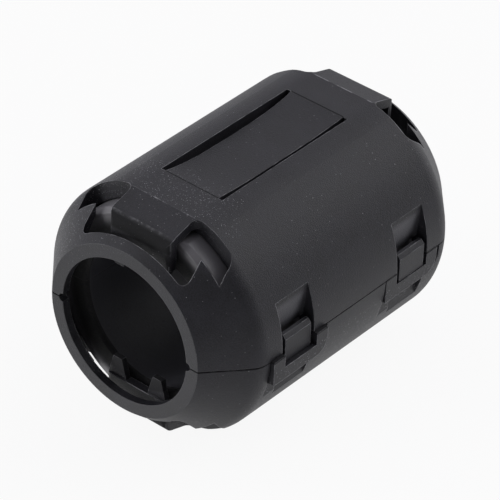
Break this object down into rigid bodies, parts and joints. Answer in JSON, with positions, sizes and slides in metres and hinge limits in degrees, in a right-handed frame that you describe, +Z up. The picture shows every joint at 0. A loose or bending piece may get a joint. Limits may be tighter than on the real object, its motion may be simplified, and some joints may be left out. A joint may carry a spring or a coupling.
{
  "type": "clip-on ferrite bead",
  "caption": "Clip-on ferrite bead: split ferrite sleeve in a hinged black plastic case that snaps shut round a cable with latch loops over hooks.",
  "frame": {"origin": "middle of the lower flat, directly below the middle of the cable axis", "axes": "+Y along the cable axis, from the near end ring to the far one; +X towards the latches; +Z up, from the lower shell to the upper shell"},
  "size_m": [0.0268, 0.0356, 0.0235],
  "materials": {
    "case": "black moulded polyamide, matte",
    "ferrite": "sintered ferrite, dark grey, dull"
  },
  "bodies": {
    "base": {"lower_shell": "case", "ferrite_core_lower": "ferrite", "hinge_strap_near": "case", "hinge_strap_far": "case"},
    "lid": {"upper_shell": "case", "ferrite_core_upper": "ferrite", "latch_loop_near": "case", "latch_loop_far": "case"}
  },
  "joints": [
    {"name": "lid_hinge", "type": "hinge", "parent": "base", "child": "lid", "pos_m": [-0.01308, 0, 0.01177], "axis": [0, -1, 0], "range_deg": [0, 180], "deforming": ["hinge_strap_near", "hinge_strap_far", "latch_loop_near", "latch_loop_far"]}
  ]
}
